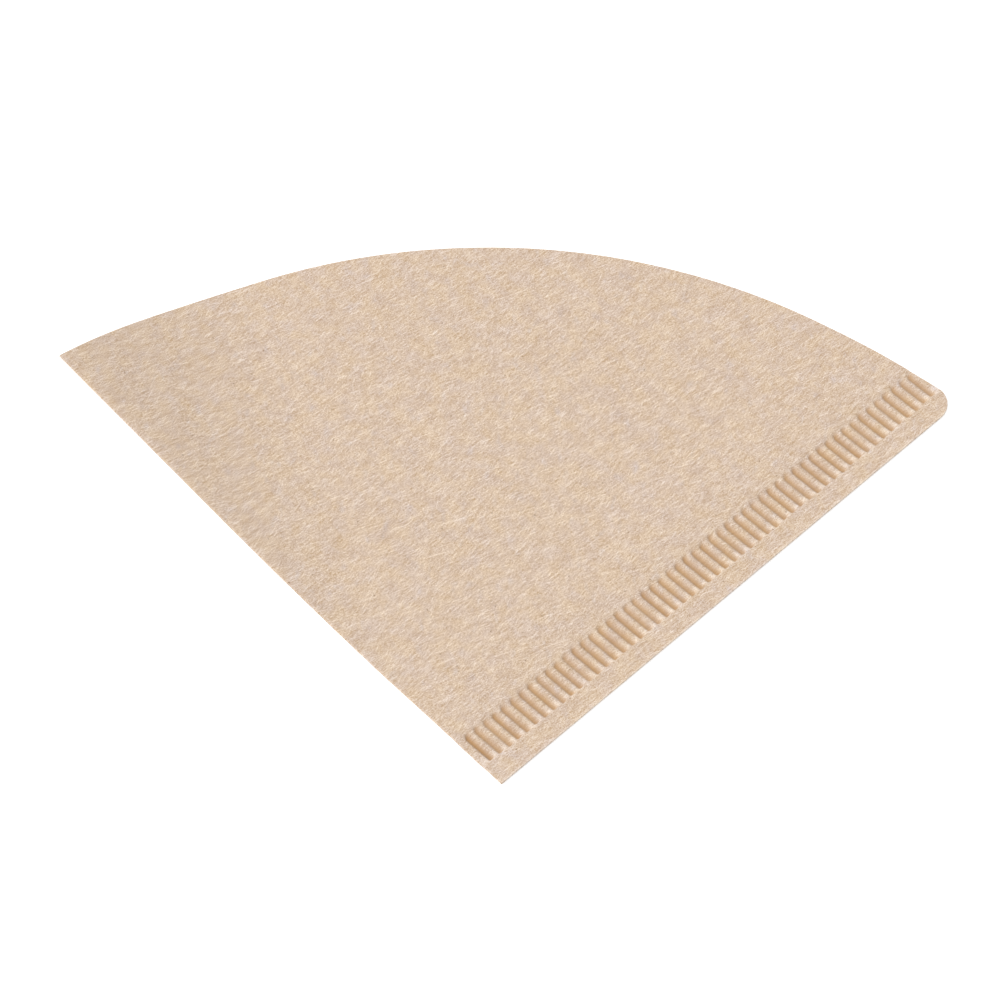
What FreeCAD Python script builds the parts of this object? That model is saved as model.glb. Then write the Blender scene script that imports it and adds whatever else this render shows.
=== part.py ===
import FreeCAD, Part
import math
import os

from FreeCAD import Vector

# Cone coffee filter, folded flat. One sheet of paper is doubled over along the fold, its two open
# sides are crimped together along the seam, and the mouth is a circular arc.
# Working frame: the bottom corner, where the fold meets the edge of the tab, is the origin.
# X runs along the seam, Y up the fold, Z upwards. All sizes are in millimetres.

# Paper
PLY = 0.2                  # thickness of one ply
LOOSE_GAP = 0.06           # air between the plies where they lie on each other
MOUTH_GAPE = 0.5           # how far the plies stand apart in the middle of the mouth

# Outline, seen from above
MOUTH_RADIUS = 117.8       # radius of the mouth's arc
MOUTH_CENTRE_INSET = 3.5   # the arc's centre lies this far inside the edge of the tab
MOUTH_END_RADIUS = 225.0   # flatter arc in which the mouth ends beside the seam
MOUTH_END_START = 30.0     # height over the edge of the tab at which the flatter arc begins
FOLD_LEAN = 2.07           # degrees that the fold leans from the square towards the seam
CORNER_RADIUS = 4.5        # rounded corner where the mouth meets the tab

# Crimped seam
TAB_WIDTH = 4.5            # plain strip outside the crimp
CRIMP_WIDTH = 7.6          # length of the grooves, across the seam
CRIMP_RAMP_TAB = 1.0       # run-out of the grooves towards the tab
CRIMP_RAMP_PANEL = 1.4     # run-out of the grooves towards the panel
GROOVE_PITCH = 2.207
FIRST_GROOVE = 2.2         # middle of the first groove, from the bottom corner
LAST_MARGIN = 1.0          # least distance from the middle of the last groove to the mouth
GROOVE_DEPTH = 0.33
GROOVE_SHARE = 0.62        # part of the pitch that is groove, the rest is the ridge beside it

# Pocket between the plies
BOND_MARGIN = 0.5          # how far the plies stay joined past the ends of the grooves
FOLD_WALL = 0.32           # paper left between the pocket and the outside of the fold
NOSE_RADIUS = 0.2          # rounding of the fold

# How the sheet lies
PRESSED = 0.02             # the flat of the lower ply is pressed level by this much
SAG_DELAY = 4.4            # the panel stays level for this length past the crimp
SAG_LENGTH = 17.6          # over this length it then comes down to the table
CURL_RADIUS = 98.0         # the corner beside the fold curls up on a cylinder of this radius
CURL_AXIS_ANGLE = 63.7     # degrees from the seam to the line where the curl starts
CURL_START = 18.8          # distance from the bottom corner to that line, along Y
CURL_BEND = 23.4           # width of the bent part, past which the corner is straight

# Spline sheets of the panel
DEGREE = 3
SPANS = 12

# Sizes that follow from those above
SHEET = 2 * PLY + LOOSE_GAP
CRIMP_END = TAB_WIDTH + CRIMP_WIDTH
SEAM_RISE = GROOVE_DEPTH    # the undersides of the grooves lie on the table
BEYOND = 1.0                # overshoot of the bodies that are trimmed to the outline

FOLD_DIR = Vector(math.sin(math.radians(FOLD_LEAN)), math.cos(math.radians(FOLD_LEAN)), 0)
MOUTH_CENTRE = Vector(0, MOUTH_CENTRE_INSET, 0)
END_TURN = math.asin((MOUTH_END_START - MOUTH_CENTRE_INSET) / MOUTH_RADIUS)
END_DIR = Vector(math.cos(END_TURN), math.sin(END_TURN), 0)
END_CENTRE = MOUTH_CENTRE - END_DIR * (MOUTH_END_RADIUS - MOUTH_RADIUS)
FAR_X = END_CENTRE.x + MOUTH_END_RADIUS + BEYOND
FAR_Y = MOUTH_CENTRE_INSET + MOUTH_RADIUS + BEYOND

SEAM_END = END_CENTRE.x + math.sqrt(MOUTH_END_RADIUS ** 2 - (CRIMP_END - END_CENTRE.y) ** 2)
GROOVE_COUNT = 1 + int((SEAM_END - LAST_MARGIN - FIRST_GROOVE) / GROOVE_PITCH)


def fold_x(y):
    """X of the fold's outer edge at the height y of the outline."""
    return y * math.tan(math.radians(FOLD_LEAN))


def smooth_step(share):
    """Rise from 0 to 1 with no slope at either end."""
    share = min(max(share, 0.0), 1.0)
    return share * share * (3 - 2 * share)


def curl(x, y):
    """Lift of the corner beside the fold: a cylinder tangent to the table, then a straight slope."""
    angle = math.radians(CURL_AXIS_ANGLE)
    distance = (y - CURL_START) * math.cos(angle) - x * math.sin(angle)
    bent = min(max(distance, 0.0), CURL_BEND)
    side = math.sqrt(CURL_RADIUS ** 2 - bent ** 2)
    if distance <= bent:
        return CURL_RADIUS - side
    return CURL_RADIUS - side + (distance - bent) * bent / side


def underside(x, y):
    """Height of the lower ply's lower face over the table."""
    sag = smooth_step((y - CRIMP_END - SAG_DELAY) / SAG_LENGTH)
    return SEAM_RISE - (SEAM_RISE + PRESSED) * sag + curl(x, y)


def gape(x, y):
    """Air between the plies: straight lines that spread from the pocket's inner corner."""
    dx = x - fold_x(CRIMP_END)
    dy = y - CRIMP_END
    sector = math.radians(90 - FOLD_LEAN)
    share = min(max(math.atan2(dy, dx) / sector, 0.0), 1.0)
    reach = math.hypot(dx, dy) / MOUTH_RADIUS
    return LOOSE_GAP + (MOUTH_GAPE - LOOSE_GAP) * reach * math.sin(math.pi * share)


def lower_outer(x, y):
    return underside(x, y)


def lower_inner(x, y):
    return underside(x, y) + PLY


def upper_inner(x, y):
    return underside(x, y) + PLY + gape(x, y)


def upper_outer(x, y):
    return underside(x, y) + 2 * PLY + gape(x, y)


def knot_row(start, end):
    """Even knots, closed at both ends, and the abscissa of each pole between them."""
    knots = [start + (end - start) * i / SPANS for i in range(SPANS + 1)]
    counts = [DEGREE + 1] + [1] * (SPANS - 1) + [DEGREE + 1]
    spread = [knot for knot, count in zip(knots, counts) for _ in range(count)]
    poles = [sum(spread[i + 1:i + 1 + DEGREE]) / DEGREE for i in range(len(spread) - DEGREE - 1)]
    return knots, counts, poles


def sheet_face(height):
    """Spline face over the panel's rectangle, whose poles stand at the given height."""
    x_knots, x_counts, x_poles = knot_row(-BEYOND, FAR_X)
    y_knots, y_counts, y_poles = knot_row(CRIMP_END, FAR_Y)
    poles = [[Vector(x, y, height(x, y)) for y in y_poles] for x in x_poles]
    surface = Part.BSplineSurface()
    surface.buildFromPolesMultsKnots(
        poles, x_counts, y_counts, x_knots, y_knots, False, False, DEGREE, DEGREE)
    return surface


def between(low_height, high_height):
    """Solid between two sheets over the same rectangle."""
    low = sheet_face(low_height)
    high = sheet_face(high_height)
    faces = [low.toShape(), high.toShape()]
    x_ends = (-BEYOND, FAR_X)
    y_ends = (CRIMP_END, FAR_Y)
    for x in x_ends:
        faces.append(Part.makeRuledSurface(low.uIso(x).toShape(), high.uIso(x).toShape()))
    for y in y_ends:
        faces.append(Part.makeRuledSurface(low.vIso(y).toShape(), high.vIso(y).toShape()))
    shell = Part.makeShell(faces)
    shell.sewShape()
    solid = Part.makeSolid(shell)
    solid.fix(1e-6, 1e-6, 1e-6)
    return solid


def ridged_face(level):
    """Arcs of the crimp's upper face along X at Y = 0, from the first crest to the last.

    Each groove is an arc that hangs below its ends and each ridge an arc that stands above
    them, and both have the same slope where they meet.
    """
    half_groove = GROOVE_PITCH * GROOVE_SHARE / 2
    floor = level - GROOVE_DEPTH
    joint = floor + GROOVE_DEPTH * GROOVE_SHARE
    arcs = []
    for i in range(GROOVE_COUNT):
        middle = FIRST_GROOVE + i * GROOVE_PITCH
        left = Vector(middle - half_groove, 0, joint)
        right = Vector(middle + half_groove, 0, joint)
        crest = Vector(middle + GROOVE_PITCH / 2, 0, level)
        if i == 0:
            arcs.append(half_ridge(crest - Vector(GROOVE_PITCH, 0, 0), left))
        arcs.append(Part.Arc(left, Vector(middle, 0, floor), right).toShape())
        if i < GROOVE_COUNT - 1:
            next_left = left + Vector(GROOVE_PITCH, 0, 0)
            arcs.append(Part.Arc(right, crest, next_left).toShape())
        else:
            arcs.append(half_ridge(crest, right, leaving=True))
    return arcs


def half_ridge(crest, foot, leaving=False):
    """Arc from a ridge's crest, where it is level, down to its foot."""
    half_chord = abs(foot.x - crest.x)
    drop = crest.z - foot.z
    radius = (half_chord ** 2 + drop ** 2) / (2 * drop)
    centre = Vector(crest.x, 0, crest.z - radius)
    turn = math.asin(half_chord / radius) / 2
    side = math.copysign(1, foot.x - crest.x)
    middle = centre + Vector(side * radius * math.sin(turn), 0, radius * math.cos(turn))
    if leaving:
        return Part.Arc(foot, middle, crest).toShape()
    return Part.Arc(crest, middle, foot).toShape()


def scalloped_face(level):
    """Arcs of the crimp's underside at Y = 0: one below each groove, creased between them."""
    arcs = []
    for i in range(GROOVE_COUNT):
        middle = FIRST_GROOVE + i * GROOVE_PITCH
        start = Vector(middle - GROOVE_PITCH / 2, 0, level)
        end = Vector(middle + GROOVE_PITCH / 2, 0, level)
        arcs.append(Part.Arc(start, Vector(middle, 0, level - GROOVE_DEPTH), end).toShape())
    return arcs


def crimp_sections():
    """Closed wires of the crimp at Y = 0: one with the grooves and one flat, edge for edge."""
    level = SEAM_RISE + SHEET
    top = ridged_face(level)
    bottom = scalloped_face(SEAM_RISE)
    waved = closed_chain(top, bottom, level, SEAM_RISE)
    flat_top = [flat_copy(arc, level) for arc in top]
    flat_bottom = [flat_copy(arc, SEAM_RISE) for arc in bottom]
    flat = closed_chain(flat_top, flat_bottom, level, SEAM_RISE)
    return waved, flat


def flat_copy(arc, level):
    start, end = arc.firstVertex(True).Point, arc.lastVertex(True).Point
    return Part.makeLine(Vector(start.x, 0, level), Vector(end.x, 0, level))


def closed_chain(top, bottom, top_level, bottom_level):
    """Wire round a section of the crimp: along the top, down, and back along the bottom."""
    def ends(chain):
        return chain[0].firstVertex(True).Point, chain[-1].lastVertex(True).Point

    top_start, top_end = ends(top)
    bottom_start, bottom_end = ends(bottom)
    corners = [Vector(x, 0, z) for x, z in (
        (-BEYOND, top_level), (FAR_X, top_level), (FAR_X, bottom_level), (-BEYOND, bottom_level))]
    edges = [Part.makeLine(corners[0], top_start)] + top
    edges += [Part.makeLine(top_end, corners[1]), Part.makeLine(corners[1], corners[2])]
    edges += [Part.makeLine(corners[2], bottom_end)] + bottom[::-1]
    edges += [Part.makeLine(bottom_start, corners[3]), Part.makeLine(corners[3], corners[0])]
    return Part.Wire(Part.__sortEdges__(edges))


def crimp():
    """The corrugated band, with grooves that run out level at both ends."""
    waved, flat = crimp_sections()
    stations = (
        (TAB_WIDTH, flat),
        (TAB_WIDTH + CRIMP_RAMP_TAB, waved),
        (CRIMP_END - CRIMP_RAMP_PANEL, waved),
        (CRIMP_END, flat))
    wires = []
    for y, wire in stations:
        moved = wire.copy()
        moved.translate(Vector(0, y, 0))
        wires.append(moved)
    return Part.makeLoft(wires, True, True)


def tab():
    """The plain strip outside the crimp."""
    return Part.makeBox(
        FAR_X + BEYOND, TAB_WIDTH + BEYOND, SHEET, Vector(-BEYOND, -BEYOND, SEAM_RISE))


def outline_prism():
    """Upright prism of the outline: tab edge, rounded corner, mouth in two tangent arcs, and fold."""
    reach = MOUTH_END_RADIUS - CORNER_RADIUS
    corner_x = END_CENTRE.x + math.sqrt(reach ** 2 - (CORNER_RADIUS - END_CENTRE.y) ** 2)
    corner = Vector(corner_x, CORNER_RADIUS, 0)
    to_corner = (corner - END_CENTRE).normalize()
    tab_end = Vector(corner_x, 0, 0)
    corner_middle = corner + (to_corner + Vector(0, -1, 0)).normalize() * CORNER_RADIUS
    corner_end = END_CENTRE + to_corner * MOUTH_END_RADIUS
    end_middle = END_CENTRE + (to_corner + END_DIR).normalize() * MOUTH_END_RADIUS
    mouth_start = MOUTH_CENTRE + END_DIR * MOUTH_RADIUS
    along = FOLD_DIR.dot(MOUTH_CENTRE)
    fold_length = along + math.sqrt(MOUTH_RADIUS ** 2 - MOUTH_CENTRE.Length ** 2 + along ** 2)
    fold_end = FOLD_DIR * fold_length
    to_fold = (fold_end - MOUTH_CENTRE).normalize()
    mouth_middle = MOUTH_CENTRE + (END_DIR + to_fold).normalize() * MOUTH_RADIUS
    wire = Part.Wire([
        Part.makeLine(Vector(0, 0, 0), tab_end),
        Part.Arc(tab_end, corner_middle, corner_end).toShape(),
        Part.Arc(corner_end, end_middle, mouth_start).toShape(),
        Part.Arc(mouth_start, mouth_middle, fold_end).toShape(),
        Part.makeLine(fold_end, Vector(0, 0, 0))])
    return upright(wire)


def upright(wire):
    """Prism on a wire, from well below the sheet to well above it."""
    height = 2 * MOUTH_RADIUS
    prism = Part.Face(wire).extrude(Vector(0, 0, height))
    prism.translate(Vector(0, 0, -height / 2))
    return prism


def pocket():
    """Air between the plies, open at the mouth."""
    start = CRIMP_END + BOND_MARGIN
    wall = FOLD_WALL / math.cos(math.radians(FOLD_LEAN))
    end = FAR_Y - BEYOND / 2
    far = FAR_X - BEYOND / 2
    wire = Part.makePolygon([
        Vector(fold_x(start) + wall, start, 0), Vector(far, start, 0),
        Vector(far, end, 0), Vector(fold_x(end) + wall, end, 0),
        Vector(fold_x(start) + wall, start, 0)])
    return between(lower_inner, upper_inner).common(upright(wire))


def fold_edges(shape):
    """Long edges of the wall at the fold: all that lie in its plane and aren't upright."""
    normal = Vector(FOLD_DIR.y, -FOLD_DIR.x, 0)
    found = []
    for edge in shape.Edges:
        ends = [vertex.Point for vertex in edge.Vertexes]
        in_plane = all(abs(point.dot(normal)) < 1e-4 for point in ends)
        flat = abs(edge.tangentAt(edge.FirstParameter).z) < 0.7
        if in_plane and flat and len(ends) == 2:
            found.append(edge)
    return found


def panel():
    """Both plies beside the crimp, with a level face where they lie on the table."""
    height = 2 * MOUTH_RADIUS
    above_table = Part.makeBox(
        FAR_X + 3 * BEYOND, FAR_Y + 3 * BEYOND, height, Vector(-2 * BEYOND, -2 * BEYOND, 0))
    return between(lower_outer, upper_outer).common(above_table)


def filter_paper():
    body = panel().fuse([crimp(), tab()]).removeSplitter()
    body = body.common(outline_prism())
    body = body.cut(pocket()).removeSplitter()
    solid = body.Solids[0]
    return solid.makeFillet(NOSE_RADIUS, fold_edges(solid))


def centred(shape):
    """Move a shape so that the bottom centre of its bounding box is the origin."""
    box = shape.optimalBoundingBox(False, False)
    shape.translate(Vector(-box.Center.x, -box.Center.y, -box.ZMin))
    return shape


os.makedirs("parts", exist_ok=True)
part = centred(filter_paper())
part.exportStep("parts/filter_paper.step")
print("volume", round(part.Volume, 2), "solids", len(part.Solids), "valid", part.isValid())
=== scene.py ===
import math

import bmesh
import bpy
import numpy as np
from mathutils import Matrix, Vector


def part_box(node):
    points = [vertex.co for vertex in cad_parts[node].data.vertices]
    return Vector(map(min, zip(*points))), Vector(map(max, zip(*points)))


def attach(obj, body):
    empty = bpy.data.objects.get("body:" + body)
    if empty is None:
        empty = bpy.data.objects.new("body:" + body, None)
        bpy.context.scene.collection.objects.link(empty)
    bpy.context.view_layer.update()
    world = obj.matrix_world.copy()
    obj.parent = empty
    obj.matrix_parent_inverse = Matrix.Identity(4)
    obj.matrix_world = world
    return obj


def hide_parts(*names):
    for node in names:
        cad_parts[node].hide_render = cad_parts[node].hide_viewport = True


bl_info = {
    "name": "Folded Paper Filter",
    "version": (1, 0, 0),
    "blender": (4, 5, 0),
    "location": "View3D > Sidebar > Paper Filter",
    "description": "An unbleached cone coffee filter, folded flat, with its crimped seam",
    "category": "Add Mesh",
}

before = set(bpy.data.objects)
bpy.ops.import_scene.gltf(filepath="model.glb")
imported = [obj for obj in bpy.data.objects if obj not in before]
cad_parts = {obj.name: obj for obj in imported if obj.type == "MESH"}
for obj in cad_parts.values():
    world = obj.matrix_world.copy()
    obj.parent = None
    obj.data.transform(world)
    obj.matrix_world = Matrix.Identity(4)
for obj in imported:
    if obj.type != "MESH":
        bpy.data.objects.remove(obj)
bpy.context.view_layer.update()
SHEET_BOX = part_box("filter_paper")

# The sheet is worked out in metres from its bottom corner, where the fold meets the tab's edge:
# x runs along the seam, y up the fold, z up from the table.
CORNER = np.array(SHEET_BOX[0], float)

COLUMNS_PER_GROOVE = 12     # fine columns across each groove of the seam
COARSEN = 4                 # fine columns to one column of the panel
FAN_ROWS = 80               # rows of the panel, spread like a fan between seam and fold
NOSE_STEPS = 6              # facets round the fold
CORNER_ROWS = 7             # rows of the seam along its rounded corner
SEAM_ROWS = (
    # The seam's other rows: the first and the last, each as a line (0 where the grooves begin,
    # 1 where they end) and the distance past it, and how many rows.
    ((0, -0.0007), (0, 0.0006), 11),
    ((0, 0.0009), (1, -0.0024), 5),
    ((1, -0.0020), (1, 0.0), 9),
)
NEAR_WIDTH = 0.002          # the columns are squeezed over this width beside the fold
FAR_WIDTH = 0.0085          # and over this width beside the mouth
SHARP_ANGLE = math.radians(40)      # edges that turn by more than this stay sharp

BOND_MARGIN = 0.0005        # how far the plies stay joined past the grooves
CREASE_DEPTH = 0.00005      # depth of the crease between the plies in the cut edge
EDGE_BULGE = 0.00002        # how far each ply's cut edge bulges
EDGE_SHARES = (0.25, 0.75)  # where its bulging rows lie, as shares of the way down

COCKLE_FADE = 0.03          # the waves grow to their full height over this length
COCKLE_WAVES = (
    # height, then for each of two sines: length along x, length along y, offset
    (1.0, (0.0071, 0.019, 0.0), (-0.031, 0.0113, 0.7)),
    (0.6, (0.0043, -0.0067, 1.9), (0.013, 0.0052, 0.0)),
    (0.8, (0.017, math.inf, 0.4), (math.inf, 0.015, 2.1)),
)

# How the press in the photo strays from an even row of grooves that are all alike.
PRESS_SEED = 53
DRIFT_START = 0.0001        # shift of the first grooves along the seam
DRIFTS = (
    # further shifts: groove where one sets in, over how many grooves, how far
    (21, 8, -0.00022),
    (46, 5, 0.00012),
)
PLACE_SPREAD = 0.00003      # how far a groove strays along the seam
STRENGTH_SPREAD = 0.06      # how much the press varies from groove to groove
FIRST_STRENGTH = 1.25       # the press went deeper in the first groove
TAB_LEAD = 0.00027          # a groove's deepest line begins this far before the band
TAB_SPREAD = 0.00006        # how far that beginning strays
PANEL_SPREAD = 0.00008      # how far the line's end at the panel strays
TAB_LEAN = 0.0000075        # fall of the band's beginning, from groove to groove
PANEL_LEAN = 0.0000145      # fall of the band's end, from groove to groove
PANEL_REACH = 0.0001        # the first groove reaches this far past the crimp's width
FOLD_RISE, FOLD_FADE = 0.00035, 2.5     # later beginning at the fold, and grooves it fades over
MOUTH_RISE, MOUTH_FADE = 0.00045, 2     # the same at the mouth

TAB_RUNOUT = 0.0004         # rounded end of a groove at the tab
PANEL_RUNOUT = 0.0010       # rounded end of a groove at the panel
TURN_BEFORE = 0.0015        # the deepest line starts to turn aside this far before its end
TURN_LENGTH = 0.0014        # and turns over this length
SINK_BEFORE = 0.0002        # the ridges start to sink this far before the grooves
SINK_LENGTH = 0.0007        # they sink over this length at the tab
RISE_LENGTH = 0.0013        # and rise again over this length at the panel

HIGHLIGHT_PLACE = 0.0005          # middle of the painted highlight on the ridges' ends, past the band's beginning
HIGHLIGHT_WIDTH = 0.0006          # how wide they are, each way
HIGHLIGHT_LIMIT = 1.6             # how fast the painted highlight fades where the press went deep
EDGE_HIGHLIGHT = 0.8              # painted highlight at the very edge of the tab
EDGE_WIDTH = 0.00045        # it falls to 0 over this width
CREASE_HIGHLIGHT = 1.2            # painted highlight in the crease of the cut edge
CUT_HIGHLIGHT = 1.6               # painted highlight on the cut edge

FIBRE_TURN = math.radians(-6)   # direction of the fibres, from the seam
FIBRE_LAYERS = (
    # turn from the seam, cell size, share of the contrast
    (FIBRE_TURN, (0.0036, 0.00017, 0.002), 0.80),
    (FIBRE_TURN + 0.30, (0.0026, 0.00016, 0.002), 0.65),
    (FIBRE_TURN - 0.34, (0.0026, 0.00016, 0.002), 0.65),
    (0.0, (0.00019, 0.00019, 0.002), 1.80),
    (0.3, (0.0014, 0.0011, 0.004), 0.10),
    (0.9, (0.0062, 0.0050, 0.008), 0.05),
)
LONG_FIBRES = (
    # turn from the seam, cell size
    (FIBRE_TURN + 0.10, (0.0034, 0.00015, 0.002)),
    (FIBRE_TURN - 0.25, (0.0028, 0.00014, 0.002)),
    (FIBRE_TURN + 0.55, (0.0026, 0.00014, 0.002)),
)
LONG_START, LONG_SLOPE = 0.65, 7.0      # noise value where a long fibre sets in, and steepness
LONG_SHARE = 1.2            # share of the contrast that a long fibre has
FIBRE_WOBBLE = 0.06         # distortion of the fibres
# Clouds: turn from the seam, cell size, detail, noise value where they set in, steepness.
STRAW_CLOUDS = (1.3, (0.0030, 0.0024, 0.006), 2.0, 1 / 3, 3.0)
ASH_CLOUDS = (0.7, (0.0026, 0.0017, 0.006), 1.0, 0.60, 4.0)

BASE_SHADE = 0.355          # mean shade, between a gap (0) and a pale fibre (1)
SHADE_RANGE = (-0.2, 1.4)   # darkest gap, and the palest that fibres and the painted highlight get
PRESS_SMOOTHING = 0.75      # share of the texture that the press takes away
HIGHLIGHT_SHADE = 0.55            # how much paler the full painted highlight makes the paper
MOST_PRESSED = 1.25         # the groove tint, partly the pressed paper's colour and partly painted shade, grows no further than this
SPECK_SCALE = 210           # cells to the metre, of which some hold a speck
SPECK_RADIUS = 0.042        # radius of a speck, in cells
SPECK_SLOPE = 50.0          # sharpness of its edge
SPECK_START, SPECK_GROWTH = 0.575, 2.0  # random value where a cell's speck sets in, steepness
BUMP_STRENGTH, BUMP_DISTANCE = 0.12, 0.00006

NOISE_STEP = (0.11, -0.07, 0.013)       # from the start of one noise to the next
MIX_INPUTS, MIX_OUTPUT = (6, 7), 2      # the colour sockets of a mix node
KEY_DIRECTION = (0.74, -0.40, -1.0)     # where the lamp shines
SENSOR_WIDTH = 36           # in millimetres


class FilterSizes(bpy.types.PropertyGroup):
    mouth_radius: bpy.props.FloatProperty(
        name="Mouth Radius", description="Radius of the mouth's arc",
        default=0.1178, unit="LENGTH", subtype="DISTANCE")
    mouth_inset: bpy.props.FloatProperty(
        name="Mouth Centre", description="How far inside the tab's edge the arc's centre lies",
        default=0.0035, unit="LENGTH", subtype="DISTANCE")
    end_radius: bpy.props.FloatProperty(
        name="Mouth End Radius", description="Radius of the flatter arc in which the mouth ends",
        default=0.225, unit="LENGTH", subtype="DISTANCE")
    end_start: bpy.props.FloatProperty(
        name="Mouth End Start", description="Height over the tab's edge where that arc begins",
        default=0.030, unit="LENGTH", subtype="DISTANCE")
    corner_radius: bpy.props.FloatProperty(
        name="Corner Radius", description="Rounded corner where the mouth meets the tab",
        default=0.0045, unit="LENGTH", subtype="DISTANCE")
    fold_lean: bpy.props.FloatProperty(
        name="Fold Lean", description="How far the fold leans from the square towards the seam",
        default=math.radians(2.07), unit="ROTATION", subtype="ANGLE")
    ply: bpy.props.FloatProperty(
        name="Ply", description="Thickness of one ply of the paper",
        default=0.0002, precision=5, unit="LENGTH", subtype="DISTANCE")
    loose_gap: bpy.props.FloatProperty(
        name="Loose Gap", description="Air between plies that lie on each other",
        default=0.00006, precision=5, unit="LENGTH", subtype="DISTANCE")
    gape: bpy.props.FloatProperty(
        name="Gape", description="How far the plies stand apart in the middle of the mouth",
        default=0.0005, precision=4, unit="LENGTH", subtype="DISTANCE")
    tab_width: bpy.props.FloatProperty(
        name="Tab Width", description="Plain strip outside the grooves",
        default=0.0045, unit="LENGTH", subtype="DISTANCE")
    crimp_width: bpy.props.FloatProperty(
        name="Crimp Width", description="Length of the grooves, across the seam",
        default=0.0076, unit="LENGTH", subtype="DISTANCE")
    groove_pitch: bpy.props.FloatProperty(
        name="Groove Pitch", description="Distance from one groove to the next",
        default=0.002207, precision=6, unit="LENGTH", subtype="DISTANCE")
    first_groove: bpy.props.FloatProperty(
        name="First Groove", description="Middle of the first groove, from the bottom corner",
        default=0.00222, precision=5, unit="LENGTH", subtype="DISTANCE")
    groove_steep: bpy.props.FloatProperty(
        name="Steep Side", description="Width of a groove's steep side, towards the fold",
        default=0.00062, precision=5, unit="LENGTH", subtype="DISTANCE")
    groove_gentle: bpy.props.FloatProperty(
        name="Gentle Side", description="Width of a groove's gentle side, towards the mouth",
        default=0.00125, precision=5, unit="LENGTH", subtype="DISTANCE")
    end_turn: bpy.props.FloatProperty(
        name="End Turn", description="How far a groove's deepest line turns aside at the panel",
        default=0.0004, precision=5, unit="LENGTH", subtype="DISTANCE")
    groove_count: bpy.props.IntProperty(
        name="Grooves", description="Number of grooves along the seam", default=53, min=1)
    groove_depth: bpy.props.FloatProperty(
        name="Groove Depth", description="Depth of the grooves below the tab, on the underside",
        default=0.00033, precision=5, unit="LENGTH", subtype="DISTANCE")
    squeeze: bpy.props.FloatProperty(
        name="Squeeze", description="How much thinner the press has made the sheet in a groove",
        default=0.0001, precision=5, unit="LENGTH", subtype="DISTANCE")
    ridge_drop: bpy.props.FloatProperty(
        name="Ridge Drop", description="How far the ridges lie below the tab and the panel",
        default=0.00014, precision=5, unit="LENGTH", subtype="DISTANCE")
    sag_delay: bpy.props.FloatProperty(
        name="Sag Delay", description="How far past the grooves the panel stays level",
        default=0.0044, unit="LENGTH", subtype="DISTANCE")
    sag_length: bpy.props.FloatProperty(
        name="Sag Length", description="Length over which the panel comes down to the table",
        default=0.0176, unit="LENGTH", subtype="DISTANCE")
    curl_radius: bpy.props.FloatProperty(
        name="Curl Radius", description="Radius on which the corner beside the fold curls up",
        default=0.098, unit="LENGTH", subtype="DISTANCE")
    curl_angle: bpy.props.FloatProperty(
        name="Curl Direction", description="Angle from the seam to the line where the curl starts",
        default=math.radians(63.7), unit="ROTATION", subtype="ANGLE")
    curl_start: bpy.props.FloatProperty(
        name="Curl Start", description="Where that line crosses the fold's side of the sheet",
        default=0.0188, unit="LENGTH", subtype="DISTANCE")
    curl_bend: bpy.props.FloatProperty(
        name="Curl Bend", description="Width of the bent part, past which the corner is straight",
        default=0.0234, unit="LENGTH", subtype="DISTANCE")
    cockle: bpy.props.FloatProperty(
        name="Cockle", description="Height of the slight waves in the panel",
        default=0.00005, precision=5, unit="LENGTH", subtype="DISTANCE")


class PaperColours(bpy.types.PropertyGroup):
    pale_grey: bpy.props.FloatVectorProperty(
        name="Pale Grey Fibres", description="Fibres where the pulp is slightly grey",
        default=(0.850, 0.711, 0.612), size=3, min=0, max=1, subtype="COLOR")
    pale_straw: bpy.props.FloatVectorProperty(
        name="Pale Straw Fibres", description="Fibres where the pulp is slightly yellow",
        default=(0.885, 0.726, 0.573), size=3, min=0, max=1, subtype="COLOR")
    dark_grey: bpy.props.FloatVectorProperty(
        name="Dark Grey Gaps", description="Gaps between fibres where the pulp is slightly grey",
        default=(0.592, 0.434, 0.319), size=3, min=0, max=1, subtype="COLOR")
    dark_straw: bpy.props.FloatVectorProperty(
        name="Dark Straw Gaps", description="Gaps between fibres where the pulp is slightly yellow",
        default=(0.617, 0.442, 0.292), size=3, min=0, max=1, subtype="COLOR")
    ash: bpy.props.FloatVectorProperty(
        name="Ash Tint", description="Tint of the sparse greyish patches",
        default=(0.95, 0.99, 1.09), size=3, min=0, max=2, subtype="COLOR")
    # partly the pressed paper's own darker colour, partly painted shade of the groove hollows
    pressed_and_groove_shade: bpy.props.FloatVectorProperty(
        name="Pressed Tint And Groove Shade", description="Tint of pressed paper and painted groove shade",
        default=(0.785, 0.65, 0.485), size=3, min=0, max=1, subtype="COLOR")
    speck: bpy.props.FloatVectorProperty(
        name="Specks", description="Bits of bark in the pulp",
        default=(0.36, 0.235, 0.15), size=3, min=0, max=1, subtype="COLOR")
    fibre_contrast: bpy.props.FloatProperty(
        name="Fibre Contrast", description="How much the fibres show",
        default=0.48, min=0, max=4, subtype="FACTOR")


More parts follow.
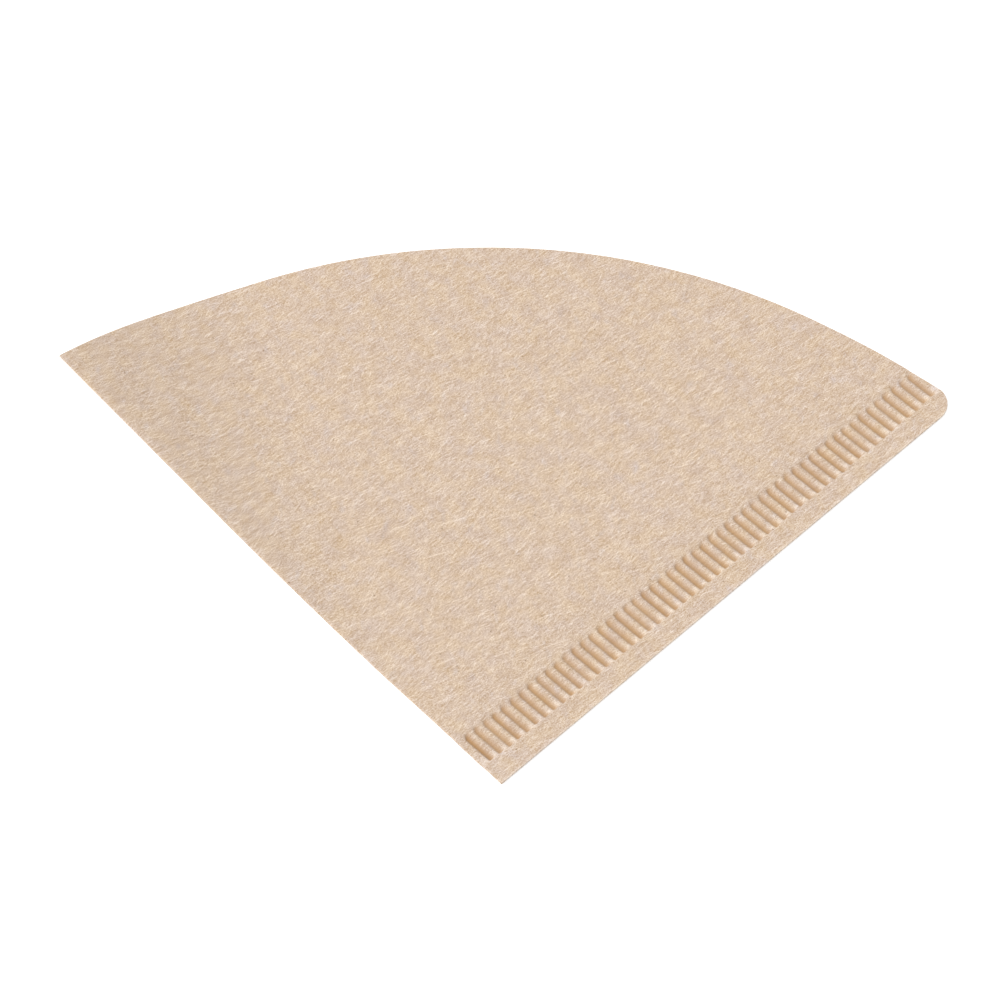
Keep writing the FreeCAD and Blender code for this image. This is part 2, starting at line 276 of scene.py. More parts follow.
class StageSettings(bpy.types.PropertyGroup):
    floor_size: bpy.props.FloatProperty(
        name="Floor", description="Side of the floor",
        default=4.0, unit="LENGTH", subtype="DISTANCE")
    floor_colour: bpy.props.FloatVectorProperty(
        name="Floor Colour", description="Colour of the floor",
        default=(0.85, 0.85, 0.85), size=3, min=0, max=1, subtype="COLOR")
    floor_lift: bpy.props.FloatProperty(
        name="Floor Lift", description="Whiteness that the camera sees on top of the floor's own",
        default=0.62, min=0, max=1, subtype="FACTOR")
    sky: bpy.props.FloatProperty(
        name="Surrounding Light", description="Strength of the even light from all sides",
        default=0.58, min=0)
    key: bpy.props.FloatProperty(
        name="Key Light", description="Strength of the soft lamp on the left",
        default=1.7, min=0)
    key_softness: bpy.props.FloatProperty(
        name="Key Softness", description="Angle that the lamp fills, seen from the paper",
        default=math.radians(35), unit="ROTATION", subtype="ANGLE")
    aim: bpy.props.FloatVectorProperty(
        name="Aim", description="Point that the camera looks at",
        default=(-0.016512, -0.016759, 0.0006), size=3, unit="LENGTH", subtype="TRANSLATION")
    distance: bpy.props.FloatProperty(
        name="Camera Distance", description="Distance from the camera to that point",
        default=0.94269, unit="LENGTH", subtype="DISTANCE")
    elevation: bpy.props.FloatProperty(
        name="Camera Elevation", description="Height of the camera over the table, as an angle",
        default=math.radians(54.47), unit="ROTATION", subtype="ANGLE")
    heading: bpy.props.FloatProperty(
        name="Camera Heading", description="Direction the camera looks in, from the seam",
        default=math.atan2(0.7121, 0.7021), unit="ROTATION", subtype="ANGLE")
    lens: bpy.props.FloatProperty(
        name="Lens", description="Focal length, for a sensor 36 mm wide",
        default=184.87, unit="CAMERA")


def smooth_step(share):
    """Rises from 0 to 1 with no slope at either end: three times the square less twice the cube."""
    share = np.clip(share, 0, 1)
    return share * share * (3 - 2 * share)


def soft_pit(share):
    """1 in the middle, falling as a half cosine wave to 0 where the share reaches 1."""
    return 0.5 + 0.5 * np.cos(np.pi * np.clip(share, 0, 1))


def sheet_thickness(sizes):
    """Both plies and the air between them."""
    return 2 * sizes.ply + sizes.loose_gap


def crimp_end(sizes):
    """Height of the line where the crimp ends: the tab's width and the crimp's."""
    return sizes.tab_width + sizes.crimp_width


def bond_end(sizes):
    """Height of the line where the pocket between the plies begins."""
    return crimp_end(sizes) + BOND_MARGIN


def fold_face_x(sizes, y):
    """X of both faces' edge at the fold: the leaning fold line, moved in by the nose's radius."""
    nose = sheet_thickness(sizes) / 2
    return y * math.tan(sizes.fold_lean) + nose / math.cos(sizes.fold_lean)


def outline_centres(sizes):
    """Centres of the three arcs of the outline: the mouth's, its flatter end's and the corner's.

    Each arc is tangent to the next, so their centres lie in line with the point where they meet.
    """
    mouth = np.array((0, sizes.mouth_inset))
    turn = math.asin((sizes.end_start - sizes.mouth_inset) / sizes.mouth_radius)
    direction = np.array((math.cos(turn), math.sin(turn)))
    end = mouth - (sizes.end_radius - sizes.mouth_radius) * direction
    reach = sizes.end_radius - sizes.corner_radius
    corner_x = end[0] + math.sqrt(reach ** 2 - (sizes.corner_radius - end[1]) ** 2)
    return mouth, end, np.array((corner_x, sizes.corner_radius))


def mouth_x(sizes, y):
    """X of the seam's right end at each height.

    It lies on the corner's circle up to the height of its centre, and above that on the mouth's
    flatter arc: the centre's x plus the root of the radius squared less the height squared.
    """
    _, end, corner = outline_centres(sizes)
    rounded = np.sqrt(np.maximum(sizes.corner_radius ** 2 - (corner[1] - y) ** 2, 0))
    flatter = np.sqrt(sizes.end_radius ** 2 - (y - end[1]) ** 2)
    return np.where(y < corner[1], corner[0] + rounded, end[0] + flatter)


def curl(sizes, x, y):
    """Lift of the corner beside the fold.

    The sheet follows a cylinder that is tangent to the table along a slanting line: its radius
    less the root of the radius squared less the reach past that line squared. Past the bent
    width it goes on straight, at the slope that it has there.
    """
    turn = sizes.curl_angle
    reach = (y - sizes.curl_start) * math.cos(turn) - x * math.sin(turn)
    reach = np.maximum(reach, 0)
    bent = np.minimum(reach, sizes.curl_bend)
    side = np.sqrt(sizes.curl_radius ** 2 - bent ** 2)
    return sizes.curl_radius - side + (reach - bent) * bent / side


def cockle(sizes, x, y):
    """Slight waves that fade out at the seam: a sum of products of two sines, raised above 0."""
    fade = smooth_step((y - crimp_end(sizes)) / COCKLE_FADE)
    waves = 0.0
    for height, (x1, y1, offset1), (x2, y2, offset2) in COCKLE_WAVES:
        first = np.sin(x / x1 + y / y1 + offset1)
        waves = waves + height * first * np.sin(x / x2 + y / y2 + offset2)
    highest = sum(wave[0] for wave in COCKLE_WAVES)
    return sizes.cockle * fade * (waves + highest) / 2


def panel_underside(sizes, x, y):
    """Height of the lower face: level beside the seam, down to the table, then up in the curl."""
    sag = smooth_step((y - crimp_end(sizes) - sizes.sag_delay) / sizes.sag_length)
    return sizes.groove_depth * (1 - sag) + curl(sizes, x, y) + cockle(sizes, x, y)


def groove_plan(sizes):
    """Middle, strength and both ends of every groove, each a little different.

    The middles lie one pitch apart, shifted by a drift that is a sum of smooth steps. Every value
    has a small random part too, normally distributed, as a press leaves it.
    """
    rng = np.random.default_rng(PRESS_SEED)
    count = sizes.groove_count
    index = np.arange(count)
    drift = DRIFT_START
    for begin, over, shift in DRIFTS:
        drift = drift + shift * smooth_step((index - begin) / over)
    middles = sizes.first_groove + sizes.groove_pitch * index + drift
    middles = middles + rng.normal(0, PLACE_SPREAD, count)
    strength = 1 + rng.normal(0, STRENGTH_SPREAD, count)
    strength[0] = FIRST_STRENGTH
    starts = band_start(sizes, index) - TAB_LEAD + rng.normal(0, TAB_SPREAD, count)
    ends = band_finish(sizes, index) + rng.normal(0, PANEL_SPREAD, count)
    return middles, strength, starts, ends


def band_start(sizes, index):
    """Height where the grooves begin, for a groove's number or a point between two.

    It falls evenly along the seam, and is higher at the fold and at the mouth by exponentials.
    """
    index = np.clip(index, 0, sizes.groove_count - 1)
    last = sizes.groove_count - 1 - index
    ends = FOLD_RISE * np.exp(-index / FOLD_FADE) + MOUTH_RISE * np.exp(-last / MOUTH_FADE)
    return sizes.tab_width - TAB_LEAN * index + ends


def band_finish(sizes, index):
    """Height where the grooves end, which falls evenly along the seam."""
    return crimp_end(sizes) + PANEL_REACH - PANEL_LEAN * index


def crimp_press(sizes, x, y):
    """How deep the press went at each point: 0 on the ridges, about 1 deep in a groove.

    Across a groove it falls as half a cosine wave each way from the deepest line, over a short
    way towards the fold and a longer one towards the mouth. Both ends are rounded: past the ends
    of that line its distance is the root of the squares of the shares across and along. At the
    panel the line turns aside, towards the mouth, in a smooth step.
    """
    middles, strength, starts, ends = groove_plan(sizes)
    finish = band_finish(sizes, x / sizes.groove_pitch)
    turn = sizes.end_turn * smooth_step((y - finish + TURN_BEFORE) / TURN_LENGTH)
    middle = sizes.first_groove + turn + (sizes.groove_gentle - sizes.groove_steep) / 2
    nearest = np.rint((x - middle) / sizes.groove_pitch).astype(int)
    nearest = np.clip(nearest, 0, sizes.groove_count - 1)
    across = x - middles[nearest] - turn
    across = np.where(across < 0, across / sizes.groove_steep, across / sizes.groove_gentle)
    over_tab = np.maximum(1 - (y - starts[nearest]) / TAB_RUNOUT, 0)
    over_panel = np.maximum(1 - (ends[nearest] - y) / PANEL_RUNOUT, 0)
    return strength[nearest] * soft_pit(np.hypot(across, np.maximum(over_tab, over_panel)))


def ridge_and_edge_highlight(sizes, x, y, press):
    """Painted highlight, paper coloured paler to stand in for light: on the ridges' ends at the
    tab, and along the tab's edge.

    Just past the band's beginning it is a bell, the exponential of minus a square, and less where
    the press went deep. From the edge of the tab it falls evenly to 0.
    """
    start = band_start(sizes, x / sizes.groove_pitch)
    bell = np.exp(-((y - start - HIGHLIGHT_PLACE) / HIGHLIGHT_WIDTH) ** 2)
    edge = EDGE_HIGHLIGHT * np.clip(1 - y / EDGE_WIDTH, 0, 1)
    return bell * np.clip(1 - HIGHLIGHT_LIMIT * press, 0, 1) + edge


def crimp_band(sizes, y):
    """1 along the grooves and 0 outside them, a smooth step up at the tab times one down above."""
    rise = smooth_step((y - sizes.tab_width + SINK_BEFORE) / SINK_LENGTH)
    fall = smooth_step((crimp_end(sizes) - y) / RISE_LENGTH)
    return rise * fall


def seam_heights(sizes, x, y):
    """Heights of the upper and the lower face across tab and grooves, and how deep the press went.

    Along the band both faces sink by the ridges' drop, and by the rest of the groove's depth
    times the press. The upper one sinks by the squeeze more. The lower stays above the table.
    """
    press = crimp_press(sizes, x, y)
    level = sizes.groove_depth + sheet_thickness(sizes)
    sunk = sizes.ridge_drop * crimp_band(sizes, y)
    upper = level - sunk - (sizes.groove_depth + sizes.squeeze - sizes.ridge_drop) * press
    lower = sizes.groove_depth - sunk - (sizes.groove_depth - sizes.ridge_drop) * press
    return upper, np.maximum(lower, 0), press


def even_columns(sizes):
    """Evenly spaced fine columns along the seam, a whole number of coarse ones."""
    step = sizes.groove_pitch / COLUMNS_PER_GROOVE
    count = int(sizes.mouth_radius / step) // COARSEN * COARSEN
    return step * np.arange(count + 1)


def seam_grid(sizes):
    """Plan of the seam: rows of equal height, columns square to them.

    The first rows follow the rounded corner in equal turns, so that their heights are its radius
    less the cosine of the turn. The others are closer at the ends of the grooves.
    """
    even = even_columns(sizes)
    turn = np.linspace(0, math.pi / 2, CORNER_ROWS + 1)
    rows = [sizes.corner_radius * (1 - np.cos(turn))[:-1]]
    lines = sizes.tab_width, crimp_end(sizes)
    for (first, past_first), (last, past_last), count in SEAM_ROWS:
        rows.append(np.linspace(lines[first] + past_first, lines[last] + past_last, count))
    rows = np.concatenate(rows)
    y = np.repeat(rows[:, None], len(even), axis=1)
    c = np.repeat(even[None, :], len(rows), axis=0)
    return stretched(sizes, c, y), y


def stretched(sizes, c, y):
    """X of an even column c at height y.

    Beside the fold and beside the mouth the columns are squeezed evenly, so that the first one
    lies on the fold and the last one on the mouth's arc or the rounded corner.
    """
    far = sizes.mouth_radius - FAR_WIDTH
    last = c[..., -1:]
    start = fold_face_x(sizes, y)
    x = np.where(c < NEAR_WIDTH, start + c * (NEAR_WIDTH - start) / NEAR_WIDTH, c)
    beyond = far + (c - far) * (mouth_x(sizes, y) - far) / (last - far)
    return np.where(c > far, beyond, x)


def panel_grid(sizes):
    """Plan of the panel: a fan of straight rays from the corner between seam and fold.

    Each ray is as long as the distance to the mouth's arc, and all are divided in the same shares,
    which on the first ray are the columns of the seam.
    """
    base = bond_end(sizes)
    columns = even_columns(sizes)[::COARSEN]
    first = stretched(sizes, columns, np.full(len(columns), base))
    shares = (first - first[0]) / (first[-1] - first[0])
    turn = np.linspace(0, math.pi / 2 - sizes.fold_lean, FAN_ROWS + 1)
    direction = np.stack((np.cos(turn), np.sin(turn)), axis=-1)
    hub = np.array((first[0], base))
    mouth, end, _ = outline_centres(sizes)
    length = ray_length(hub, direction, mouth, sizes.mouth_radius)
    flatter = ray_length(hub, direction, end, sizes.end_radius)
    length = np.where(hub[1] + length * direction[:, 1] < sizes.end_start, flatter, length)
    plan = hub + direction[:, None, :] * (length[:, None] * shares[None, :])[..., None]
    return plan[..., 0], plan[..., 1], shares, turn / turn[-1]


def ray_length(start, direction, centre, radius):
    """Distance from a point inside a circle to the circle along each direction.

    It is the positive root of the circle's equation along the ray, which is of second degree.
    """
    offset = start - centre
    along = direction @ offset
    return np.sqrt(along ** 2 - offset @ offset + radius ** 2) - along


class SheetMesh:
    """Gathers points, how deep the press went there and how much painted highlight they have, and
    faces, and numbers the points.
    """

    def __init__(self):
        self.points = []
        self.press = []
        self.rub = []
        self.corners = []       # point numbers of all faces, one face after the other
        self.sides = []         # how many corners each face has
        self.count = 0

    def add(self, x, y, z, press=0.0, rub=0.0):
        """Adds an array of points and returns their numbers in the same shape."""
        x, y, z, press, rub = np.broadcast_arrays(x, y, z, press, rub)
        self.points.append(np.stack((x.ravel(), y.ravel(), z.ravel()), axis=-1))
        self.press.append(press.ravel())
        self.rub.append(rub.ravel())
        numbers = np.arange(self.count, self.count + x.size).reshape(x.shape)
        self.count += x.size
        return numbers

    def polygons(self, corners):
        """Adds a face for each row of point numbers, leaving out a corner that repeats another.

        A quad that has two corners in one is a triangle, and a face left with two is dropped.
        """
        kept = np.ones(corners.shape, bool)
        for i in range(1, corners.shape[1]):
            kept[:, i] = (corners[:, :i] != corners[:, i:i + 1]).all(axis=1)
        kept[kept.sum(axis=1) < 3] = False
        sides = kept.sum(axis=1)
        self.corners.append(corners[kept])
        self.sides.append(sides[sides > 0])

    def quads(self, grid):
        """Faces between the neighbours of a grid of point numbers."""
        corners = (grid[:-1, :-1], grid[:-1, 1:], grid[1:, 1:], grid[1:, :-1])
        self.polygons(np.stack(corners, axis=-1).reshape(-1, 4))

    def stitch(self, fine, coarse):
        """Faces from each step of the coarse row to the fine points that lie along it."""
        steps = np.arange(len(coarse) - 1)[:, None] * COARSEN + np.arange(COARSEN + 1)
        self.polygons(np.column_stack((fine[steps], coarse[1:], coarse[:-1])))


def add_faces(mesh, sizes):
    """Upper and lower face: the seam's grid, stitched to the panel's fan.

    The air between the plies grows evenly along each ray of the fan, and across the rays as half
    a sine wave. Returns the point numbers of both faces, and the panel's plan for the pocket.
    """
    seam_x, seam_y = seam_grid(sizes)
    upper_z, lower_z, press = seam_heights(sizes, seam_x, seam_y)
    # painted highlight on the ridges' ends beside the tab and along the tab's edge
    rub = ridge_and_edge_highlight(sizes, seam_x, seam_y, press)
    fan_x, fan_y, shares, turn = panel_grid(sizes)
    low = panel_underside(sizes, fan_x, fan_y)
    open_more = (sizes.gape - sizes.loose_gap) * shares[None, :] * np.sin(np.pi * turn)[:, None]
    air = sizes.loose_gap + open_more
    both = []
    for seam_z, fan_z in ((upper_z, low + 2 * sizes.ply + air), (lower_z, low)):
        seam = mesh.add(seam_x, seam_y, seam_z, press, rub)
        fan = mesh.add(fan_x, fan_y, fan_z)
        fan[1:, 0] = fan[0, 0]
        mesh.quads(seam)
        mesh.stitch(seam[-1], fan[0])
        mesh.quads(fan)
        both.append((seam, fan))
    return both, (fan_x, fan_y, low, air)


def add_pocket(mesh, sizes, plan):
    """Inner faces of both plies, which meet along the seam and along the fold."""
    fan_x, fan_y, low, air = plan
    ceiling = mesh.add(fan_x, fan_y, low + sizes.ply + air)
    floor = mesh.add(fan_x, fan_y, low + sizes.ply)
    floor[0], floor[-1] = ceiling[0], ceiling[-1]
    ceiling[:, 0] = ceiling[0, 0]
    floor[:, 0] = ceiling[0, 0]
    mesh.quads(ceiling)
    mesh.quads(floor)
    return ceiling[:, -1], floor[:, -1]


def outline(seam, fan):
    """Point numbers round the cut edge: along the tab, up its end, along the mouth to the fold."""
    return np.concatenate((seam[0], seam[1:, -1], fan[:, -1]))


def add_cut_edge(mesh, sizes, both, ceiling_rim, floor_rim):
    """Cut edge of the sheet, whose plies bulge slightly.

    Along the seam a crease parts them, halfway between the faces. Along the mouth the rims of
    the pocket do. The bulging rows lie at their shares of the way down, moved straight out.
    """
    points = np.concatenate(mesh.points)
    top = outline(*both[0])
    bottom = outline(*both[1])
    at, under = points[top], points[bottom]
    out = outward(sizes, at)
    closed = len(top) - len(ceiling_rim)
    crease = at[:closed] * 0.5 + under[:closed] * 0.5
    crease[:, :2] -= CREASE_DEPTH * out[:closed]
    # the crease and the cut edge are painted pale, a painted highlight against their own shade
    middle = mesh.add(*crease.T, rub=CREASE_HIGHLIGHT)
    ceiling = np.concatenate((middle, ceiling_rim))
    floor = np.concatenate((middle, floor_rim))
    points = np.concatenate(mesh.points)
    bulge_x, bulge_y = (at[:, :2] + EDGE_BULGE * out).T
    rims = []
    for start, end in ((top, ceiling), (floor, bottom)):
        rows = [start]
        for share in EDGE_SHARES:
            z = points[start, 2] * (1 - share) + points[end, 2] * share
            rows.append(mesh.add(bulge_x, bulge_y, z, rub=CUT_HIGHLIGHT))
        rows.append(end)
        grid = np.array(rows)
        mesh.quads(grid)
        rims.append(grid)
    return rims


def outward(sizes, points):
    """Direction away from the sheet: square to the tab's edge, else away from its arc's centre."""
    mouth, end, corner = outline_centres(sizes)
    centre = np.tile(mouth, (len(points), 1))
    centre[points[:, 1] < sizes.end_start] = end
    rounded = (points[:, 0] > corner[0]) & (points[:, 1] < corner[1])
    centre[rounded] = corner
    away = points[:, :2] - centre
    away[(points[:, 1] <= 0) & ~rounded] = (0, -1)
    return away / np.linalg.norm(away, axis=1, keepdims=True)


def add_nose(mesh, sizes, both, rims):
    """Round of the fold: half a circle from the upper to the lower face, all along the fold.

    At both ends of the fold one flat face closes the half circle against the cut edge.
    """
    edges = [np.concatenate((seam[:, 0], fan[0, :1], fan[-1, 1:])) for seam, fan in both]
    points = np.concatenate(mesh.points)
    top, bottom = points[edges[0]], points[edges[1]]
    half = (top[:, 2] - bottom[:, 2]) / 2
    out = np.array((-math.cos(sizes.fold_lean), math.sin(sizes.fold_lean)))
    rows = [edges[0]]
    for turn in np.linspace(math.pi / 2, -math.pi / 2, NOSE_STEPS + 1)[1:-1]:
        xy = top[:, :2] + sheet_thickness(sizes) / 2 * math.cos(turn) * out
        z = (top[:, 2] + bottom[:, 2]) / 2 + half * math.sin(turn)
        rows.append(mesh.add(xy[:, 0], xy[:, 1], z))
    rows.append(edges[1])
    grid = np.array(rows)
    mesh.quads(grid)
    for end in (0, -1):
        cut_half = np.concatenate((rims[0][:, end], rims[1][1:, end]))
        mesh.polygons(np.concatenate((grid[:, end], cut_half[-2:0:-1]))[None, :])


def build_object(mesh, name):
    """Blender object of the gathered points and faces, at its place, with outward normals."""
    used, corners = np.unique(np.concatenate(mesh.corners), return_inverse=True)
    points = np.concatenate(mesh.points)[used] + CORNER
    sides = np.concatenate(mesh.sides)
    data = bpy.data.meshes.new(name)
    data.vertices.add(len(points))
    data.vertices.foreach_set("co", points.astype(np.float32).ravel())
    data.loops.add(len(corners))
    data.loops.foreach_set("vertex_index", corners.astype(np.int32))
    data.polygons.add(len(sides))
    data.polygons.foreach_set("loop_start", (np.cumsum(sides) - sides).astype(np.int32))
    data.update(calc_edges=True)
    for label, values in (("press", mesh.press), ("rub", mesh.rub)):
        attribute = data.attributes.new(label, "FLOAT", "POINT")
        attribute.data.foreach_set("value", np.concatenate(values)[used].astype(np.float32))
    shell = bmesh.new()
    shell.from_mesh(data)
    bmesh.ops.recalc_face_normals(shell, faces=shell.faces)
    shell.to_mesh(data)
    shell.free()
    data.shade_smooth()
    data.set_sharp_from_angle(angle=SHARP_ANGLE)
    piece = bpy.data.objects.new(name, data)
    bpy.context.scene.collection.objects.link(piece)
    return piece


class NodeTree:
    """Short way to add and link shader nodes."""

    def __init__(self, tree):
        self.tree = tree
        self.noises = 0

    def add(self, kind, **values):
        node = self.tree.nodes.new(kind)
        for name, value in values.items():
            setattr(node, name, value)
        return node

    def link(self, source, target):
        self.tree.links.new(source, target)

    def attribute(self, name):
        return self.add("ShaderNodeAttribute", attribute_name=name).outputs["Fac"]

    def math(self, operation, first, second, third=None, clamp=False):
        """Result of a math node, each of whose values is a number or another node's output."""
        node = self.add("ShaderNodeMath", operation=operation, use_clamp=clamp)
        for socket, value in zip(node.inputs, (first, second, third)):
            if isinstance(value, (int, float)):
                socket.default_value = value
            elif value is not None:
                self.link(value, socket)
        return node.outputs[0]

    def ramp(self, value, start, slope):
        """0 up to the start, and from there it rises with the slope, to 1 at most."""
        return self.math("MULTIPLY_ADD", value, slope, -slope * start, clamp=True)

    def mix(self, factor, first, second, blend="MIX"):
        """Blend of two colours, each of which is given or another node's output."""
        node = self.add("ShaderNodeMix", data_type="RGBA", blend_type=blend, clamp_factor=False)
        self.link(factor, node.inputs["Factor"])
        for number, value in zip(MIX_INPUTS, (first, second)):
            if isinstance(value, bpy.types.NodeSocket):
                self.link(value, node.inputs[number])
            else:
                node.inputs[number].default_value = (*value, 1)
        return node.outputs[MIX_OUTPUT]

    def noise(self, place, turn, cell, detail=0.0, distortion=0.0):
        """Noise whose cells have the given size in metres, turned about the upright axis.

        Each one starts from a point of its own, away from the piece, so that no two are alike.
        """
        self.noises += 1
        mapping = self.add("ShaderNodeMapping", vector_type="TEXTURE")
        mapping.inputs["Location"].default_value = [step * self.noises for step in NOISE_STEP]
        mapping.inputs["Rotation"].default_value = (0, 0, turn)
        mapping.inputs["Scale"].default_value = cell
        self.link(place, mapping.inputs["Vector"])
        noise = self.add("ShaderNodeTexNoise", noise_dimensions="3D")
        noise.inputs["Scale"].default_value = 1
        noise.inputs["Detail"].default_value = detail
        noise.inputs["Distortion"].default_value = distortion
        self.link(mapping.outputs["Vector"], noise.inputs["Vector"])
        return noise.outputs["Fac"]


def fibre_texture(nodes, place, contrast):
    """Fibres: a weighted sum of centred noises, most of them drawn out along the seam.

    The crests of finer, longer noises are added as single fibres.
    """
    texture = 0.0
    for turn, cell, share in FIBRE_LAYERS:
        noise = nodes.noise(place, turn, cell, distortion=FIBRE_WOBBLE)
        centred = nodes.math("SUBTRACT", noise, 0.5)
        texture = nodes.math("MULTIPLY_ADD", centred, share * contrast * 2, texture)
    for turn, cell in LONG_FIBRES:
        noise = nodes.noise(place, turn, cell, distortion=FIBRE_WOBBLE)
        crest = nodes.ramp(noise, LONG_START, LONG_SLOPE)
        texture = nodes.math("MULTIPLY_ADD", crest, LONG_SHARE * contrast, texture)
    return texture


def clouds(nodes, place, turn, cell, detail, start, slope):
    """Soft patches: 0 where the noise is below the start, and up to 1 where it is above."""
    return nodes.ramp(nodes.noise(place, turn, cell, detail), start, slope)


def pulp_colour(nodes, place, shade, colours):
    """Colour from gap to fibre by the shade, in clouds of grey and straw, with ashen patches."""
    straw = clouds(nodes, place, *STRAW_CLOUDS)
    dark = nodes.mix(straw, tuple(colours.dark_grey), tuple(colours.dark_straw))
    light = nodes.mix(straw, tuple(colours.pale_grey), tuple(colours.pale_straw))
    darkest, palest = SHADE_RANGE
    within = nodes.math("MAXIMUM", nodes.math("MINIMUM", shade, palest), darkest)
    pulp = nodes.mix(within, dark, light)
    ash = clouds(nodes, place, *ASH_CLOUDS)
    return nodes.mix(ash, pulp, tuple(colours.ash), blend="MULTIPLY")


def speck_mask(nodes, place):
    """1 on the bits of bark: discs about the middles of those cells whose random value is high."""
    cells = nodes.add("ShaderNodeTexVoronoi", voronoi_dimensions="2D", feature="F1")
    cells.inputs["Scale"].default_value = SPECK_SCALE
    nodes.link(place, cells.inputs["Vector"])
    near = nodes.math("SUBTRACT", SPECK_RADIUS, cells.outputs["Distance"])
    disc = nodes.math("MULTIPLY", near, SPECK_SLOPE, clamp=True)
    pick = nodes.add("ShaderNodeSeparateColor")
    nodes.link(cells.outputs["Color"], pick.inputs["Color"])
    some = nodes.ramp(pick.outputs["Red"], SPECK_START, SPECK_GROWTH)
    return nodes.math("MULTIPLY", disc, some)


def paper_material(colours):
    """Unbleached filter paper: fibres mostly along the seam, cloudy pulp, and bits of bark."""
    material = bpy.data.materials.new("unbleached_paper")
    material.use_nodes = True
    nodes = NodeTree(material.node_tree)
    place = nodes.add("ShaderNodeTexCoord").outputs["Object"]
    press = nodes.attribute("press")

    texture = fibre_texture(nodes, place, colours.fibre_contrast)
    smoothed = nodes.math("MULTIPLY_ADD", press, -PRESS_SMOOTHING, 1.0)
    height = nodes.math("MULTIPLY_ADD", texture, smoothed, BASE_SHADE)
    # the painted highlight makes the paper paler on the ridges' ends, the tab's edge, the crease
    # and the cut edge
    shade = nodes.math("MULTIPLY_ADD", nodes.attribute("rub"), HIGHLIGHT_SHADE, height)
    pulp = pulp_colour(nodes, place, shade, colours)
    # grooves tinted darker and more orange: partly the pressed paper's own colour, partly painted
    # shade of the groove hollows
    tinted = nodes.math("MINIMUM", press, MOST_PRESSED)
    pressed_and_groove_shade = nodes.mix(tinted, pulp, tuple(colours.pressed_and_groove_shade), blend="MULTIPLY")
    finished = nodes.mix(speck_mask(nodes, place), pressed_and_groove_shade, tuple(colours.speck))

    bump = nodes.add("ShaderNodeBump")
    bump.inputs["Strength"].default_value = BUMP_STRENGTH
    bump.inputs["Distance"].default_value = BUMP_DISTANCE
    nodes.link(height, bump.inputs["Height"])
    shader = material.node_tree.nodes["Principled BSDF"]
    shader.inputs["Roughness"].default_value = 0.92
    shader.inputs["Specular IOR Level"].default_value = 0.15
    nodes.link(finished, shader.inputs["Base Color"])
    nodes.link(bump.outputs["Normal"], shader.inputs["Normal"])
    return material


def floor_material(settings):
    """Pale matte floor that keeps the object's shadow, and is whiter where it is seen directly."""
    material = bpy.data.materials.new("pale_floor")
    material.use_nodes = True
    nodes = NodeTree(material.node_tree)
    material.node_tree.nodes.remove(material.node_tree.nodes["Principled BSDF"])
    output = material.node_tree.nodes["Material Output"]
    matte = nodes.add("ShaderNodeBsdfDiffuse")
    matte.inputs["Color"].default_value = (*settings.floor_colour, 1)
    glow = nodes.add("ShaderNodeEmission")
    glow.inputs["Color"].default_value = (1, 1, 1, 1)
    lift = nodes.math("MULTIPLY", seen_directly(nodes), settings.floor_lift)
    nodes.link(lift, glow.inputs["Strength"])
    total = nodes.add("ShaderNodeAddShader")
    nodes.link(matte.outputs["BSDF"], total.inputs[0])
    nodes.link(glow.outputs["Emission"], total.inputs[1])
    nodes.link(total.outputs["Shader"], output.inputs["Surface"])
    return material


def seen_directly(nodes):
    """1 for rays from the camera and for mirror and glass rays, 0 for those that give light."""
    path = nodes.add("ShaderNodeLightPath")
    first = nodes.math("ADD", path.outputs["Is Camera Ray"], path.outputs["Is Glossy Ray"])
    return nodes.math("ADD", first, path.outputs["Is Transmission Ray"], clamp=True)


def surroundings(settings):
    """Even light from all sides, white where it is seen directly."""
    world = bpy.data.worlds.new("surroundings")
    world.use_nodes = True
    nodes = NodeTree(world.node_tree)
    background = world.node_tree.nodes["Background"]
    background.inputs["Color"].default_value = (1, 1, 1, 1)
    extra = nodes.math("MULTIPLY", seen_directly(nodes), 1 - settings.sky)
    nodes.link(nodes.math("ADD", extra, settings.sky), background.inputs["Strength"])
    bpy.context.scene.world = world


class PAPERFILTER_OT_sheet(bpy.types.Operator):
    """Add the folded sheet: panel, fold, crimped seam and the pocket between its plies"""
    bl_idname = "paper_filter.sheet"
    bl_label = "Folded Sheet"

    def execute(self, context):
        sizes = context.scene.filter_sizes
        mesh = SheetMesh()
        both, plan = add_faces(mesh, sizes)
        ceiling_rim, floor_rim = add_pocket(mesh, sizes, plan)
        rims = add_cut_edge(mesh, sizes, both, ceiling_rim, floor_rim)
        add_nose(mesh, sizes, both, rims)
        sheet = build_object(mesh, "filter_sheet")
        sheet.data.materials.append(paper_material(context.scene.paper_colours))
        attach(sheet, "root")
        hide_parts("filter_paper")
        return {"FINISHED"}


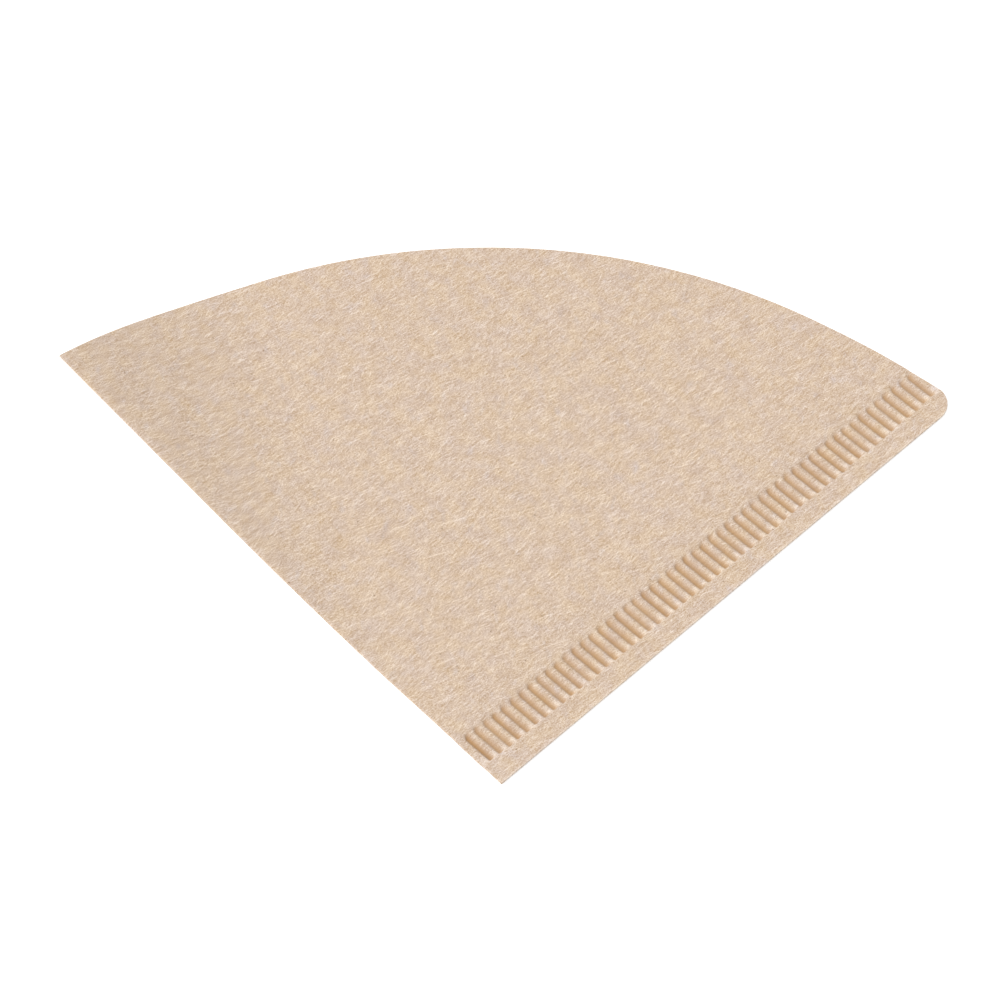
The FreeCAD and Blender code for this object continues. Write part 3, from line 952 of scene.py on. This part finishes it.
class PAPERFILTER_OT_stage(bpy.types.Operator):
    """Add the pale floor, the soft light and the camera"""
    bl_idname = "paper_filter.stage"
    bl_label = "Floor, Light and Camera"

    def execute(self, context):
        settings = context.scene.stage_settings
        half = settings.floor_size / 2
        corners = [(-half, -half, 0), (half, -half, 0), (half, half, 0), (-half, half, 0)]
        data = bpy.data.meshes.new("floor")
        data.from_pydata(corners, [], [(0, 1, 2, 3)])
        data.materials.append(floor_material(settings))
        floor = bpy.data.objects.new("floor", data)
        context.scene.collection.objects.link(floor)
        surroundings(settings)

        lamp = bpy.data.lights.new("key_light", "SUN")
        lamp.energy = settings.key
        lamp.angle = settings.key_softness
        key = bpy.data.objects.new("key_light", lamp)
        key.rotation_euler = aimed(KEY_DIRECTION)
        context.scene.collection.objects.link(key)

        view = bpy.data.cameras.new("camera")
        view.lens = settings.lens
        view.sensor_width = SENSOR_WIDTH
        view.clip_start = 0.01
        camera = bpy.data.objects.new("camera", view)
        level = math.cos(settings.elevation)
        forward = np.array((
            level * math.cos(settings.heading),
            level * math.sin(settings.heading),
            -math.sin(settings.elevation)))
        camera.location = np.array(settings.aim) - settings.distance * forward
        upright = math.pi / 2
        camera.rotation_euler = (upright - settings.elevation, 0, settings.heading - upright)
        context.scene.collection.objects.link(camera)
        context.scene.camera = camera
        context.scene.view_settings.view_transform = "Standard"
        return {"FINISHED"}


def aimed(direction):
    """Rotation that turns a lamp's own downward axis into the given direction."""
    x, y, z = direction
    return (math.atan2(math.hypot(x, y), -z), 0, math.atan2(-x, y))


class PAPERFILTER_PT_panel(bpy.types.Panel):
    bl_label = "Paper Filter"
    bl_idname = "PAPERFILTER_PT_panel"
    bl_space_type = "VIEW_3D"
    bl_region_type = "UI"
    bl_category = "Paper Filter"

    def draw(self, context):
        scene = context.scene
        for settings in (scene.filter_sizes, scene.paper_colours, scene.stage_settings):
            box = self.layout.box()
            for name in settings.bl_rna.properties.keys():
                if name not in ("rna_type", "name"):
                    box.prop(settings, name)
        for operator in STEPS:
            self.layout.operator(operator.bl_idname)


GROUPS = (FilterSizes, PaperColours, StageSettings)
STEPS = (PAPERFILTER_OT_sheet, PAPERFILTER_OT_stage)


def register():
    for item in (*GROUPS, *STEPS, PAPERFILTER_PT_panel):
        bpy.utils.register_class(item)
    bpy.types.Scene.filter_sizes = bpy.props.PointerProperty(type=FilterSizes)
    bpy.types.Scene.paper_colours = bpy.props.PointerProperty(type=PaperColours)
    bpy.types.Scene.stage_settings = bpy.props.PointerProperty(type=StageSettings)


def unregister():
    del bpy.types.Scene.stage_settings
    del bpy.types.Scene.paper_colours
    del bpy.types.Scene.filter_sizes
    for item in (PAPERFILTER_PT_panel, *STEPS[::-1], *GROUPS[::-1]):
        bpy.utils.unregister_class(item)


def main():
    register()
    bpy.ops.paper_filter.sheet()
    bpy.ops.paper_filter.stage()


if __name__ == "__main__":
    main()
